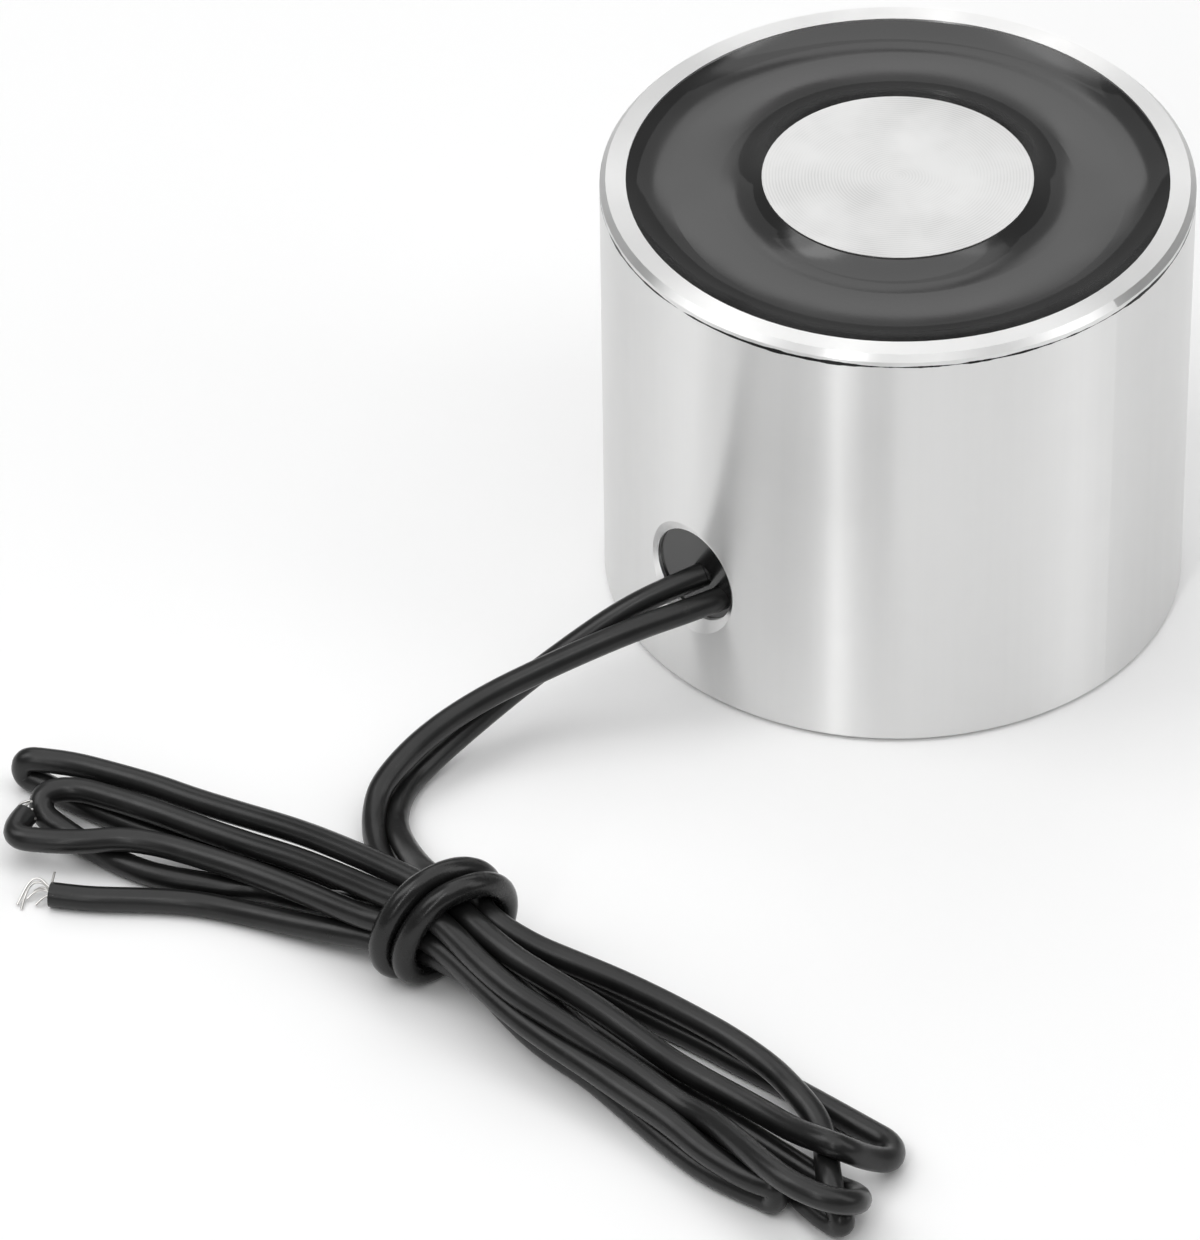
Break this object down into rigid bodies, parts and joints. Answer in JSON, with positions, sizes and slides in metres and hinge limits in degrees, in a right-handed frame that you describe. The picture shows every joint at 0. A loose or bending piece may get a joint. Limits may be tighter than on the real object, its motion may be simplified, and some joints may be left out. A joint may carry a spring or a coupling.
{
  "type": "round holding electromagnet",
  "caption": "Round plated steel cup holding a potted coil around a flat-faced core, with a threaded hole in its back and flexible leads leaving the cup's side in a tied hank.",
  "frame": {"origin": "centre of the cup's flat back, which lies on Z = 0 with the hank of leads", "axes": "+Z from the back towards the pole face; the leads leave the cup along -Y; +X completes the frame"},
  "size_m": [0.045, 0.0543, 0.0205],
  "materials": {
    "shell_nickel": "polished nickel plating",
    "core_steel": "turned and ground, plated",
    "potting_epoxy": "glossy cast resin",
    "seal_epoxy": "cast resin",
    "bobbin_nylon": "moulded",
    "insulator_fibre": "matt",
    "magnet_wire": "enamelled copper",
    "winding_tape": "film tape",
    "solder": "solder",
    "sleeving": "heat shrink",
    "lead_pvc": "soft satin PVC",
    "tinned_strand": "tinned copper"
  },
  "bodies": {
    "root": {"pot_shell": "shell_nickel", "centre_core": "core_steel", "base_insulator": "insulator_fibre", "bobbin": "bobbin_nylon", "coil_winding": "magnet_wire", "winding_tape": "winding_tape", "winding_tail_a": "magnet_wire", "winding_tail_b": "magnet_wire", "solder_joint_a": "solder", "solder_joint_b": "solder", "splice_sleeve_a": "sleeving", "splice_sleeve_b": "sleeving", "lead_a_inner": "lead_pvc", "lead_b_inner": "lead_pvc", "exit_seal": "seal_epoxy", "potting_resin": "potting_epoxy", "lead_a": "lead_pvc", "lead_b": "lead_pvc", "lead_hank": "lead_pvc", "hank_tie": "lead_pvc", "lead_a_end": "lead_pvc", "lead_b_end": "lead_pvc", "bare_strands_a": "tinned_strand", "bare_strands_b": "tinned_strand"}
  },
  "joints": []
}
